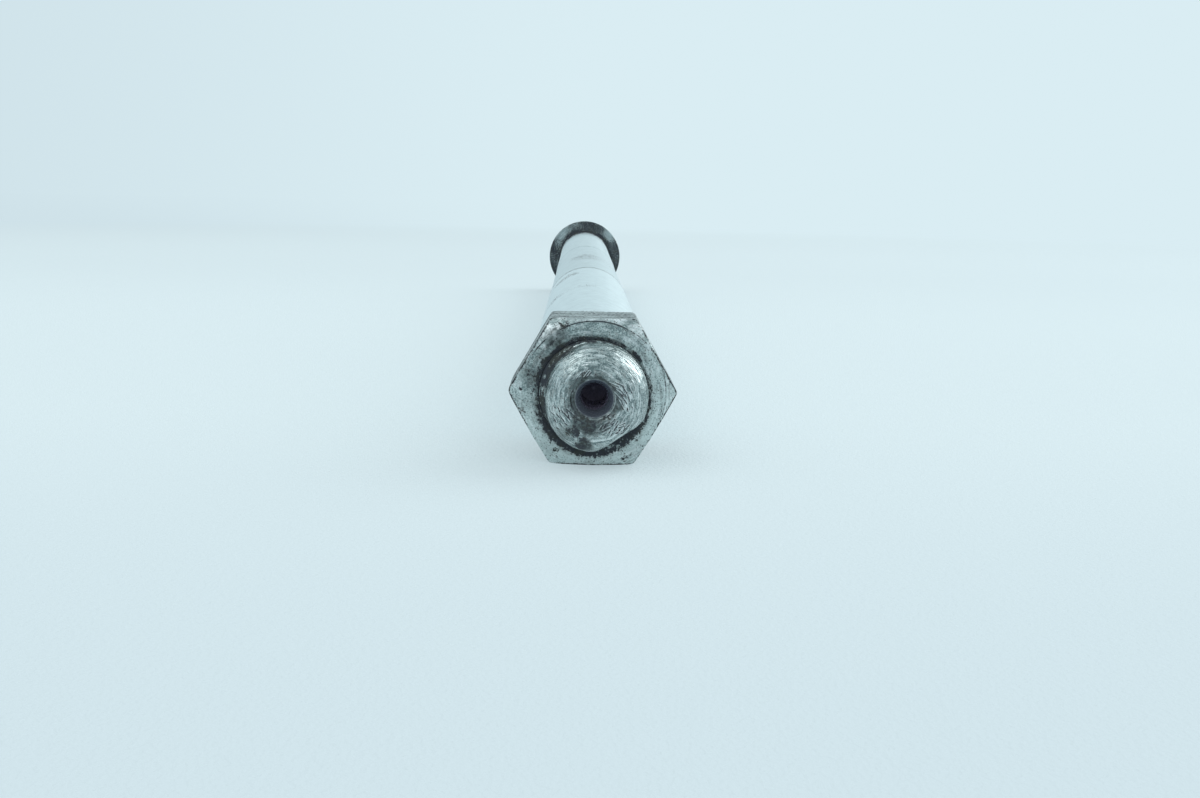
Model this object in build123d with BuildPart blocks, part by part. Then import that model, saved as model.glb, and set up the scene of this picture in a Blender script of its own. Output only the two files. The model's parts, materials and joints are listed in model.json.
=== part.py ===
from build123d import *
import os
from math import cos, radians, sin, tan

# Swingarm pivot bolt: a long journal bolt with a flanged hex head, and the hex nut on its thread.
# The bolt lies along Y. The origin is the centre of the head's bearing face, with the nut towards -Y.
# Sizes are in millimetres, and angles in degrees.

# head
head_af = 22.0  # across the flats of the hex
head_height = 9.0  # from the top of the flange to the head's outer face
flange_diameter = 30.0
flange_rim = 2.2  # thickness of the flange at its rim
flange_slope = 18.0  # rise of the flange from the rim to the hex
rim_edge = 0.5  # rounding of the rim's two edges
neck_fillet = 1.0  # between the shank and the bearing face

# shank
shank_diameter = 20.0  # the two ground journals
shank_length = 310.0  # from the bearing face to the shoulder at the thread
head_journal = 104.0  # length of the journal beside the head
thread_journal = 104.0  # length of the journal beside the thread
relief_depth = 0.15  # how far the unground middle lies below the journals
relief_taper = 0.6  # length of the taper at each end of the relief
shoulder_chamfer = 1.0

# thread
thread_diameter = 16.0  # outer diameter of the fine thread
thread_depth = 0.92  # depth of its 1.5 mm pitch
undercut_length = 3.0  # run-out groove at the shoulder
bare_thread = 8.0  # between the shoulder and the nut
stand_out = 6.2  # how far the round end stands out of the nut
point_diameter = 15.6  # of the round point, turned just under the thread
point_length = 5.0  # from the end face to the thread
point_round = 2.9  # rounding of the point's edge
flat_depth = 1.1  # of the flat that blows have left on the point's side
flat_direction = -56.0  # where that flat faces, from +X towards +Z
flat_lean = 4.0  # the flat leans in towards the end face

# centre holes, left from turning the bolt between centres
pilot_diameter = 3.86
pilot_depth = 9.0  # from the face to the end of the straight wall
mouth_diameter = 5.42  # where the curved wall meets the bevel
curve_length = 2.6  # length of the curved wall
bevel_diameter = 7.2  # of the bevel that protects the mouth
bevel_angle = 120.0
drill_point = 118.0

# nut
nut_af = 22.0  # across the flats
nut_height = 10.0
thread_play = 0.05  # on the radius, between the bolt's thread and the nut's
outer_sink = 17.2  # diameter of the countersink on the outer face
inner_sink = 16.8  # diameter of the countersink on the bearing face
sink_angle = 90.0

# corners of both hexes
corner_angle = 30.0  # between the chamfer and the hex's outer face
face_share = 0.97  # the circle that the chamfer leaves on the face, over the width across flats
hex_margin = 1.0  # how far the chamfer's cutter reaches past the corners

# radii, and places along the axis
shank_radius = shank_diameter / 2
relief_radius = shank_radius - relief_depth
thread_radius = thread_diameter / 2
root_radius = thread_radius - thread_depth
point_radius = point_diameter / 2
flange_radius = flange_diameter / 2
bore_radius = thread_radius + thread_play
flange_top = flange_rim + (flange_radius - head_af / 2) * tan(radians(flange_slope))
head_face = flange_top + head_height
shoulder = -shank_length
nut_seat = shoulder - bare_thread
nut_face = nut_seat - nut_height
bolt_end = nut_face - stand_out
point_start = bolt_end + point_length

# Half-section planes for what is turned in from a face: x is the radius, and y runs into the material
into_end = Plane(origin=(0, bolt_end, 0), x_dir=(1, 0, 0), z_dir=(0, 0, 1))
into_nut = Plane(origin=(0, nut_face, 0), x_dir=(1, 0, 0), z_dir=(0, 0, 1))
into_head = Plane(origin=(0, head_face, 0), x_dir=(1, 0, 0), z_dir=(0, 0, -1))

# The hammered flat starts at the nut's face, and its y runs towards the end
flat_out = Vector(1, 0, 0).rotate(Axis.Y, -flat_direction)
flat_side = flat_out.rotate(Axis.Y, -90)
hammered_flat = Plane(
    origin=Vector(0, nut_face, 0) + flat_out * (point_radius - flat_depth),
    x_dir=flat_side,
    z_dir=flat_out * cos(radians(flat_lean)) - Vector(0, 1, 0) * sin(radians(flat_lean)),
)


def across(y, facing=1):
    """Plane across the bolt's axis at y, with its normal towards +Y, or -Y when facing is -1."""
    return Plane(origin=(0, y, 0), x_dir=(1, 0, 0), z_dir=(0, facing, 0))


def corner(sketch, point):
    """The sketch's corner at a point of the outline."""
    return sketch.vertices().sort_by_distance(point)[0]


def round_corner(sketch, point, radius):
    """Rounds the sketch's corner at a point of the outline."""
    fillet(corner(sketch, point), radius=radius)


def cut_centre_hole(section):
    """Bores a bell-mouthed centre hole. The section's origin is on the face and its y runs inwards."""
    bevel_radius = bevel_diameter / 2
    mouth_radius = mouth_diameter / 2
    pilot_radius = pilot_diameter / 2
    bevel_depth = (bevel_radius - mouth_radius) / tan(radians(bevel_angle / 2))
    curve_end = bevel_depth + curve_length
    point_end = pilot_depth + pilot_radius / tan(radians(drill_point / 2))
    with BuildSketch(section) as hole:
        with BuildLine():
            Polyline((0, 0), (bevel_radius, 0), (mouth_radius, bevel_depth))
            TangentArc((pilot_radius, curve_end), (mouth_radius, bevel_depth), tangent=(0, -1))
            Polyline((pilot_radius, curve_end), (pilot_radius, pilot_depth), (0, point_end), (0, 0))
        make_face()
    revolve(hole.sketch, axis=Axis.Y, mode=Mode.SUBTRACT)


def chamfer_hex_corners(section, across_flats):
    """Turns the corners off a hex face. The section's origin is on the face and its y runs inwards."""
    inner = across_flats / 2 * face_share
    outer = across_flats / 2 / cos(radians(30)) + hex_margin
    drop = (outer - inner) * tan(radians(corner_angle))
    with BuildSketch(section) as ring:
        with BuildLine():
            Polyline((inner, 0), (outer, 0), (outer, drop), close=True)
        make_face()
    revolve(ring.sketch, axis=Axis.Y, mode=Mode.SUBTRACT)


# The bolt: one turned blank with a hex head, its round point flattened on one side by blows
with BuildPart() as pivot_bolt:
    with BuildSketch(Plane.XY) as blank:
        with BuildLine():
            Polyline(
                (0, flange_top),
                (head_af / 2, flange_top),
                (flange_radius, flange_rim),
                (flange_radius, 0),
                (shank_radius, 0),
                (shank_radius, -head_journal),
                (relief_radius, -head_journal - relief_taper),
                (relief_radius, shoulder + thread_journal + relief_taper),
                (shank_radius, shoulder + thread_journal),
                (shank_radius, shoulder),
                (root_radius, shoulder),
                (root_radius, shoulder - undercut_length + thread_depth),
                (thread_radius, shoulder - undercut_length),
                (thread_radius, point_start),
                (point_radius, point_start - (thread_radius - point_radius)),
                (point_radius, bolt_end),
                (0, bolt_end),
                close=True,
            )
        make_face()
        round_corner(blank, (flange_radius, flange_rim), rim_edge)
        round_corner(blank, (flange_radius, 0), rim_edge)
        round_corner(blank, (shank_radius, 0), neck_fillet)
        round_corner(blank, (point_radius, bolt_end), point_round)
        chamfer(corner(blank, (shank_radius, shoulder)), length=shoulder_chamfer)
    revolve(axis=Axis.Y)
    with BuildSketch(across(flange_rim)):
        RegularPolygon(head_af / 2, 6, major_radius=False)
    extrude(amount=head_face - flange_rim)
    chamfer_hex_corners(into_head, head_af)
    cut_centre_hole(into_head)
    cut_centre_hole(into_end)
    with BuildSketch(hammered_flat):
        Rectangle(point_diameter, 2 * stand_out, align=(Align.CENTER, Align.MIN))
    extrude(amount=2 * flat_depth, mode=Mode.SUBTRACT)
pivot_bolt.part.label = "pivot_bolt"

# The nut: its outer face has turned corners and shows its countersink, its bearing face is plain
with BuildPart() as hex_nut:
    with BuildSketch(across(nut_face)):
        RegularPolygon(nut_af / 2, 6, major_radius=False)
    extrude(amount=nut_height)
    chamfer_hex_corners(into_nut, nut_af)
    with Locations(across(nut_face, facing=-1)):
        CounterSinkHole(bore_radius, outer_sink / 2, counter_sink_angle=sink_angle)
    with Locations(across(nut_seat)):
        CounterSinkHole(bore_radius, inner_sink / 2, counter_sink_angle=sink_angle)
hex_nut.part.label = "hex_nut"

os.makedirs("parts", exist_ok=True)
export_step(pivot_bolt.part, "parts/pivot_bolt.step")
export_step(hex_nut.part, "parts/hex_nut.step")
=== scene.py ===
import json
import math

import bpy
import numpy as np
from mathutils import Matrix, Vector


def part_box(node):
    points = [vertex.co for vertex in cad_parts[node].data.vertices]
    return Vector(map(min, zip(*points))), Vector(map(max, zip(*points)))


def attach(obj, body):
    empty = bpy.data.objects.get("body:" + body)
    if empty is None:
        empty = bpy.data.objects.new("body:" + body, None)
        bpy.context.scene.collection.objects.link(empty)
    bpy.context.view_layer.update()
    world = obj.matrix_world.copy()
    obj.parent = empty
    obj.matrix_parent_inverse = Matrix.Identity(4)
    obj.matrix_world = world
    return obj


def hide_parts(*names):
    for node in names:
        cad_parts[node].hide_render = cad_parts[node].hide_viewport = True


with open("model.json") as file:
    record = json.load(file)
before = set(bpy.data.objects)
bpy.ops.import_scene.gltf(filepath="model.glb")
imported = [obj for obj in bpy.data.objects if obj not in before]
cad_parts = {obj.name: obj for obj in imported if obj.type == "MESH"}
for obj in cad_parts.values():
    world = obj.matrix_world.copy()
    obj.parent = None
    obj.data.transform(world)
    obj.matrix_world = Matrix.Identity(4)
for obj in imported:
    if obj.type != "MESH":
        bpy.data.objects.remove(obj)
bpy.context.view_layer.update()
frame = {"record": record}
print("frame loaded")

# Shapes are worked out in millimetres, in the frame's own axes, and turned to metres in addSurface.
# The round end and the nut are towards -Y and the head towards +Y. Directions round the axis are in degrees,
# from +X, the right, towards +Z, the top.
mm = 0.001
nutLow, nutHigh = (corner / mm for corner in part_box("hex_nut"))
boltLow, boltHigh = (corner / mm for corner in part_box("pivot_bolt"))
journal = next(mount for mount in frame["record"]["mounts"] if mount["name"] == "pivot_journal")
nutFace, nutSeat = nutLow.y, nutHigh.y
shankRadius = journal["dims"]["r_mm"]
shoulder = journal["pos_m"][1] / mm - journal["dims"]["length_mm"] / 2


def ease(low, high, value):
    # 0 below low, 1 above high, and a smooth step between them
    part = np.clip((value - low) / (high - low), 0, 1)
    return part * part * (3 - 2 * part)


def hump(value, middle, width):
    # A bell curve: 1 at the middle, and e to the power -1 a width away from it
    return np.exp(-((value - middle) / width) ** 2)


def softExcess(value, soft):
    # The value where it is above 0, and 0 elsewhere, with a turn as wide as soft between the two
    return np.log1p(np.exp(np.clip(value / soft, -30, 30))) * soft


def latticeNoise(points, seed):
    # A hashed value at each whole-number place, blended by smooth steps in between, from 0 to 1
    cell = np.floor(points).astype(np.int64)
    part = ease(0, 1, points - cell)
    total = np.zeros(points.shape[:-1])
    for corner in np.ndindex(2, 2, 2):
        x, y, z = np.moveaxis(cell + corner, -1, 0)
        mixed = x * 73856093 ^ y * 19349663 ^ z * 83492791 ^ seed * 2654435761
        for shift, factor in ((13, 1274126177), (16, 2246822519)):
            mixed = (mixed ^ (mixed >> shift)) * factor & 0xFFFFFFFF
        share = np.prod(np.where(corner, part, 1 - part), axis=-1)
        total += share * ((mixed ^ (mixed >> 15)) & 0xFFFF) / 0xFFFF
    return total


def fractalNoise(points, size, seed, layers=4):
    # Lattice noise of that grain size, plus layers each half as large and half as strong, from about -1 to 1
    total = sum(0.5 ** k * (latticeNoise(points * (2 ** k / size), seed + k) - 0.5) for k in range(layers))
    return total * 2 / sum(0.5 ** k for k in range(layers))


def roughen(points, skin, share=1.0):
    # Every point moves by three separate noises, one for each axis, times the depth and its own share.
    # A row of the skin is (grain size, depth, seed, layers).
    for size, depth, seed, layers in skin:
        moves = [fractalNoise(points, size, seed + 20 * axis, layers) for axis in range(3)]
        points = points + np.stack(moves, -1) * np.asarray(depth * share)[..., None]
    return points


def softSection(corners, angles, closed=False, bend=5):
    # Straight legs between corners, each corner cut back by its own length and rounded by a parabola.
    # A corner is (radius, place along the axis, cut, rows to the next); the first two may go by angle.
    points = [[np.broadcast_to(value, len(angles)) for value in corner[:2]] for corner in corners]
    points = np.array(points, float).transpose(0, 2, 1)
    legs = np.roll(points, -1, 0) - points
    legs /= np.maximum(np.linalg.norm(legs, axis=2, keepdims=True), 1e-9)
    last = len(corners) - 1
    cuts = [0 if not closed and k in (0, last) else corner[2] for k, corner in enumerate(corners)]
    rows = []
    for k, corner in enumerate(corners):
        leave = points[k] + legs[k] * cuts[k]
        if cuts[k]:
            arrive = points[k] - legs[k - 1] * cuts[k]
            part = np.linspace(0, 1, bend)[:, None, None]
            rows.append((1 - part) ** 2 * arrive + 2 * part * (1 - part) * points[k] + part * part * leave)
        else:
            rows.append(points[k][None])
        if closed or k < last:
            following = (k + 1) % len(corners)
            arrive = points[following] - legs[k] * cuts[following]
            part = np.linspace(0, 1, corner[3] + 1)[1:-1, None, None]
            rows.append(leave + (arrive - leave) * part)
    section = np.concatenate(rows)
    return section[..., 0], section[..., 1]


def turn(radius, along, angles):
    # Each column of the section is turned about Y to its own angle, from +X towards +Z
    return np.stack([radius * np.cos(angles), along, radius * np.sin(angles)], -1)


def roundAngles(columns):
    # A whole turn in equal steps, in radians
    return np.arange(columns) * (2 * math.pi / columns)


def direction(degrees):
    # x and z of a step of 1 in that direction
    return math.cos(math.radians(degrees)), math.sin(math.radians(degrees))


def degreesApart(turned, way):
    # How far one direction is from another, from -180 to 180
    return (turned - way + 180) % 360 - 180


def fromTable(table, turned):
    # Straight lines from row to row of a table of (direction, value), which closes on itself after a turn
    return np.interp(turned, *zip(*table), period=360)


def hexRadius(angles, flats, sharpness):
    # Distance to a hexagon with flats up and down: the power mean of its six sides, which wears its corners
    sides = np.radians(np.arange(30, 390, 60))[:, None]
    facing = np.maximum(np.cos(angles - sides), 0.01)
    return flats * np.sum(facing ** sharpness, axis=0) ** (-1 / sharpness)


def awayFrom(points, x=0, z=0):
    # Distance from a place, seen along Y
    return np.hypot(points[..., 0] - x, points[..., 2] - z)


def spotMask(points, spots, seed, ragged):
    # Soft blots seen along Y: (x, z, radius, strength) each, with edges that a noise pulls in and out
    pull = 1 + ragged * fractalNoise(points, 1.1, seed, 3)
    clear = np.ones(points.shape[:-1])
    for x, z, radius, strength in spots:
        far = awayFrom(points, x, z) * pull
        clear *= 1 - strength * (1 - ease(0.35 * radius, radius, far))
    return 1 - clear


def addSurface(name, rings, masks, closed=False, sharp=38):
    # Rings of points joined to their neighbours, closed into a loop or ended by a point at each end
    rows, columns = rings.shape[:2]

    def flatten(values):
        if closed:
            return values.reshape(-1, *values.shape[2:])
        inner = values[1:-1].reshape(-1, *values.shape[2:])
        return np.concatenate([values[0, :1], inner, values[-1, :1]])

    index = np.arange(rows * columns).reshape(rows, columns)
    if not closed:
        lastPoint = (rows - 2) * columns + 1
        index = np.clip(index - columns + 1, 0, lastPoint)
        index[-1] = lastPoint
    low, high = (index, np.roll(index, -1, 0)) if closed else (index[:-1], index[1:])
    quads = np.stack([low, np.roll(low, -1, 1), np.roll(high, -1, 1), high], -1).reshape(-1, 4)
    points = flatten(rings)
    first, *others = (points[quads[:, k]] for k in range(4))
    volume = sum(np.sum(first * np.cross(a, b)) for a, b in zip(others, others[1:]))
    if volume < 0:
        quads = quads[:, ::-1]  # they pointed inwards
    faces = quads.tolist()
    if not closed:
        faces = [list(dict.fromkeys(face)) for face in faces]
    mesh = bpy.data.meshes.new(name)
    mesh.from_pydata((points * mm).tolist(), [], faces)
    for mask, values in masks.items():
        layer = mesh.attributes.new(mask, "FLOAT", "POINT")
        layer.data.foreach_set("value", flatten(values).astype(np.float32))
    mesh.polygons.foreach_set("use_smooth", np.ones(len(faces), bool))
    mesh.set_sharp_from_angle(angle=math.radians(sharp))
    mesh.validate()
    piece = bpy.data.objects.new(name, mesh)
    bpy.context.scene.collection.objects.link(piece)
    print(f"{name}: {len(points)} points, {len(faces)} faces")
    return piece


thread = {
    "radius": 8.0,
    "depth": 0.92,
    "pitch": 1.5,
    "crest": 0.125,  # the flat shares of half a pitch, on the crest and in the root
    "root": 0.2,
}
centreHole = {
    "bevelRadius": 3.6,
    "bevelSlope": 60,  # to the axis
    "mouthRadius": 2.71,
    "bell": 2.6,  # the depth of the curve between the bevel and the pilot
    "pilotRadius": 1.93,
    "pilotDepth": 9.0,
    "tip": 1.1,
}


def threadRidge(along, angles):
    # 1 on the crests of a right-hand screw, 0 in its roots, and straight flanks between
    phase = (along / thread["pitch"] + angles / (2 * math.pi)) % 1
    return np.clip((np.abs(2 * phase - 1) - thread["root"]) / (1 - thread["root"] - thread["crest"]), 0, 1)


def holeCorners(form, face, bevelCut, bellSteps, rows):
    # From the face inwards: a bevel, a bell on an arc that runs into the pilot's wall, the pilot and its tip.
    # The rows are those on the bevel, down the pilot and on the tip.
    bevelDepth = (form["bevelRadius"] - form["mouthRadius"]) / math.tan(math.radians(form["bevelSlope"]))
    flare = form["mouthRadius"] - form["pilotRadius"]
    arc = (flare ** 2 + form["bell"] ** 2) / (2 * flare)
    low = face - bevelDepth - form["bell"]
    bell = [(form["pilotRadius"] + arc - math.sqrt(arc ** 2 - up * up), low + up, 0, 1)
            for up in np.linspace(form["bell"], 0, bellSteps)]
    bell[-1] = bell[-1][:3] + (rows[1],)
    bottom = face - form["pilotDepth"]
    return [(form["bevelRadius"], face, bevelCut, rows[0]), *bell,
            (form["pilotRadius"], bottom, 0, rows[2]), (0, bottom - form["tip"], 0, 1)]


roundEnd = {
    "columns": 480,
    "insideNut": 6.0,  # where its surface starts, behind the nut's face
    "threadOut": 1.2,  # how far the thread stands out of the nut
    "radius": 7.8,
    "rounding": (3.5, 0.9),  # of its edge: the middle value, and how much more at the top and less below
    "roundTo": 76,  # how far round the edge goes, in degrees
    "facet": (42, 52, 0.10, 0.05),  # worn at the upper right: direction, slope, depth, softness
    "lean": (0.38, 0.0),  # how far the end leans, to the right and up
    "holeShift": (0.2, 0.2),  # and its hole
    "packed": 0.95,  # how far dirt fills the thread close to the nut
    "flatTowards": -56,  # one side is beaten flat
    "flatFrom": 7.0,  # from the axis
    "flatLean": 4,
    "flatSoft": 0.22,
    # low and high places round the side: (direction, half width, depth)
    "lows": [(172, 38, 0.55), (122, 14, 0.1), (70, 15, 0.06), (-95, 30, -0.22), (-140, 25, -0.1),
             (-12, 12, 0.08)],
    # smeared turns of the thread: (distance from the nut's face, share), and their size
    "grooves": [(0.45, 1.0), (1.05, 1.0), (1.75, 0.7)],
    "grooveWidth": 0.12,
    "grooveDepth": 0.12,
    "skin": [(3.5, 0.14, 11, 4), (1.0, 0.05, 71, 3)],  # small dents
    # grime: (x, z, radius, strength)
    "stains": [(-2.9, -4.6, 1.5, 0.9), (-3.9, -1.8, 0.8, 0.6), (-3.2, -2.6, 0.8, 0.6), (-1.3, -6.4, 1.5, 1.1),
               (-0.4, -3.7, 1.6, 0.7), (-2.0, -3.0, 1.3, 0.7), (-5.4, -1.0, 0.7, 0.6), (-5.5, -3.0, 1.0, 0.4),
               (1.9, -3.2, 1.4, 0.5), (-4.4, -5.9, 0.9, 0.4), (0.6, 3.5, 1.1, 0.5), (3.4, -0.6, 1.2, 0.4),
               (2.9, 2.2, 1.1, 0.45), (4.6, -3.4, 1.2, 0.35), (0.8, -5.6, 1.1, 0.3)],
    # a thin soft film of old grease: (x, z, radius, strength)
    "film": [(-1.9, -3.4, 1.7, 0.9), (-0.3, -4.0, 1.8, 1.0), (1.3, -3.7, 1.5, 0.8), (-3.1, -1.4, 1.6, 0.7),
             (3.6, -0.7, 1.3, 0.8), (-2.6, 2.3, 1.5, 0.6), (1.2, 3.3, 1.3, 0.5), (-3.9, -5.0, 1.8, 0.4),
             (-1.0, -6.7, 1.6, 1.0)],
    # darker places on the tone: (x, z, radius, strength)
    "darkerSpots": [(0.2, 5.7, 2.3, 0.4), (-1.0, 4.6, 1.7, 0.9), (-6.0, 2.0, 1.5, 0.5)],
    # how far out from the nut the dirt reaches: (direction, distance)
    "dirtReach": [(0, 0.7), (25, 0.4), (50, 0.6), (75, 1.3), (105, 2.0), (135, 3.1), (155, 2.9), (180, 2.9),
                  (225, 2.8), (270, 2.3), (300, 2.4), (325, 1.5), (345, 0.9)],
    # where that dirt is darker: (direction, half width, share), and where it is paler
    "darker": [(146, 22, 1.0), (204, 14, 0.5)],
    "paler": (180, 11),
    "rings": [2.95, 3.35, 3.8, 4.3],  # turned lines round the hole
    # knife marks: (x, z, direction, length)
    "marks": [(-1.5, 3.8, 52, 1.4), (-1.2, 3.9, 50, 1.5), (-0.9, 3.8, 53, 1.2), (-0.6, 3.7, 50, 1.0),
              (-1.9, 3.6, 48, 1.1), (2.9, 2.3, -18, 1.4), (3.3, 1.8, -28, 1.8), (3.6, 1.3, -38, 2.2),
              (4.1, 1.3, -50, 1.7), (4.6, 1.4, -60, 1.5), (3.5, 0.6, -45, 1.6), (4.3, 0.4, -55, 1.9),
              (3.7, 2.4, -25, 1.3), (5.0, 0.6, -68, 1.4), (4.0, -0.6, -60, 1.5), (-3.9, -2.1, -48, 1.9),
              (-3.3, -1.7, -42, 1.3), (-4.4, -2.7, -55, 1.2)],
    # fields of short nicks: (x, z, reach in x, reach in z, direction, how many)
    "nicks": [(3.0, -4.0, 2.0, 1.1, 40, 22), (-4.6, -2.8, 1.3, 1.8, -50, 10), (4.9, 0.2, 0.9, 2.2, -70, 6)],
}


def roundEndCorners(form, angles, end):
    # The thread, then an arc whose radius varies round the axis, up to the face, and the hole in it
    rounding = form["rounding"][0] + form["rounding"][1] * np.sin(angles)
    core = form["radius"] - rounding
    lift = end - rounding - 0.05
    crest = thread["radius"]
    arc = [(core + rounding * math.cos(step), lift + rounding * math.sin(step), 0, 1)
           for step in np.radians(np.linspace(0, form["roundTo"], 62))]
    arc[-1] = arc[-1][:3] + (24,)
    return [(0, -form["insideNut"], 0, 3), (crest, -form["insideNut"], 0, 5), (crest, -1.6, 0, 24),
            (crest, form["threadOut"], 0.1, 3), (form["radius"], form["threadOut"] + 0.3, 0.1, 16),
            *arc, *holeCorners(centreHole, end, 0.12, 26, (10, 10, 4))]


def scatterNicks(fields):
    # Each nick lies a golden angle on from the last, further out and turned a little
    nicks = []
    for x, z, reachX, reachZ, way, many in fields:
        for k in range(many):
            out = math.sqrt((k + 0.5) / many)
            length = 0.45 + 0.45 * (0.618 * k % 1)
            nicks.append((x + reachX * out * math.cos(2.4 * k), z + reachZ * out * math.sin(2.4 * k),
                          way + 22 * math.sin(3 * k), length))
    return nicks


def scoreLines(points, lines):
    # Straight lines seen along Y, (x, z, direction, length) each, with a burr that stands beside each groove
    scored = raised = np.zeros(points.shape[:-1])
    for x, z, way, length in lines:
        towardsX, towardsZ = direction(way)
        right, up = points[..., 0] - x, points[..., 2] - z
        pastEnd = np.maximum(np.abs(right * towardsX + up * towardsZ) - length / 2, 0)
        beside = up * towardsX - right * towardsZ
        scored = np.maximum(scored, hump(np.hypot(pastEnd, beside), 0, 0.09))
        raised = np.maximum(raised, hump(np.hypot(pastEnd, beside - 0.17), 0, 0.07))
    return scored, raised


def roundEndMasks(form, points, angles, radius, out, end, inside, grooves):
    # Grime is the most of the stains, the dirt by the nut, the dirt round the hole and the scored lines.
    # Each is a product of soft steps, humps and noise.
    turned = np.degrees(angles)
    left = ease(-0.3, 0.8, np.cos(angles - 3.4))
    below = ease(-0.2, 0.7, np.cos(angles + 1.5))
    lowerRight = ease(-0.2, 0.7, np.cos(angles + 0.8))
    outside = 1 - inside * ease(0.35, 0.6, end - out)  # the bevel too
    fromHole = awayFrom(points, *form["holeShift"])
    ragged = fractalNoise(points, 1.0, 31, 4)

    stains = spotMask(points, form["stains"], 41, 0.5) * outside
    stains = stains * (0.75 + 1.1 * fractalNoise(points, 1.6, 83, 5))

    reach = fromTable(form["dirtReach"], turned)
    byNut = (1 - ease(reach - 0.5, reach + 0.4, out + 0.6 * ragged)) * (radius > 5)
    darker = np.maximum.reduce([share * hump(turned, way, wide) for way, wide, share in form["darker"]])
    tone = 0.56 + 1.4 * fractalNoise(points, 0.8, 33, 3) + 0.2 * ease(1.2, 0.4, out)
    byNut = byNut * (tone + 0.75 * darker - 0.5 * hump(turned, *form["paler"]))
    byNut = np.maximum(byNut, grooves * 0.9)

    rings = sum(hump(fromHole, ring, 0.07) for ring in form["rings"]) * left * (0.8 + ragged)
    rim = (1 - ease(2.7, 4.2 + 0.6 * left + 0.7 * below, fromHole + 0.8 * ragged)) * outside
    byHole = (0.3 + 0.25 * below) * rim + 0.5 * rings
    # a painted highlight: a thin bright arc on the hole's rim at the lower right, which also clears its grime
    # and film
    paintedRimGlint = hump(fromHole, 3.0, 0.06) * lowerRight * ease(-1.2, -0.2, out - end)

    # painted light and shade on the tone: a little lighter towards the top, darker close to the hole and at
    # the darker spots
    cleanAndPaintedLight = 0.03 + 0.02 * ease(1, 6, points[..., 2]) - 0.08 * (1 - ease(3.5, 6, fromHole))
    cleanAndPaintedLight = cleanAndPaintedLight - 0.17 * spotMask(points, form["darkerSpots"], 91, 0.5)
    greasy = 0.95 * (1 - ease(3.1, 3.9 + 0.5 * left + 0.5 * below, fromHole + 0.5 * ragged))
    film = np.maximum(spotMask(points, form["film"], 43, 0.4), greasy) * outside

    scored, raised = scoreLines(points, form["marks"] + scatterNicks(form["nicks"]))
    scored, raised = scored * outside * (radius < 7), raised * outside * (radius < 7)
    grime = np.clip(np.maximum.reduce([stains, byNut, byHole, 0.8 * scored]), 0, 1)
    return {
        "grime": grime * (1 - 0.7 * paintedRimGlint),
        "inHole": inside * (0.5 * ease(0.35, 0.6, end - out) + 0.5 * ease(2.0, 2.9, end - out)),
        "wornAndPaintedHighlight": np.maximum(0.45 * paintedRimGlint, 0.6 * raised),
        "cleanAndPaintedLight": cleanAndPaintedLight * (1 - inside),
        "film": film * (1 - 0.7 * np.maximum(paintedRimGlint, raised)),
    }


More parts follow.
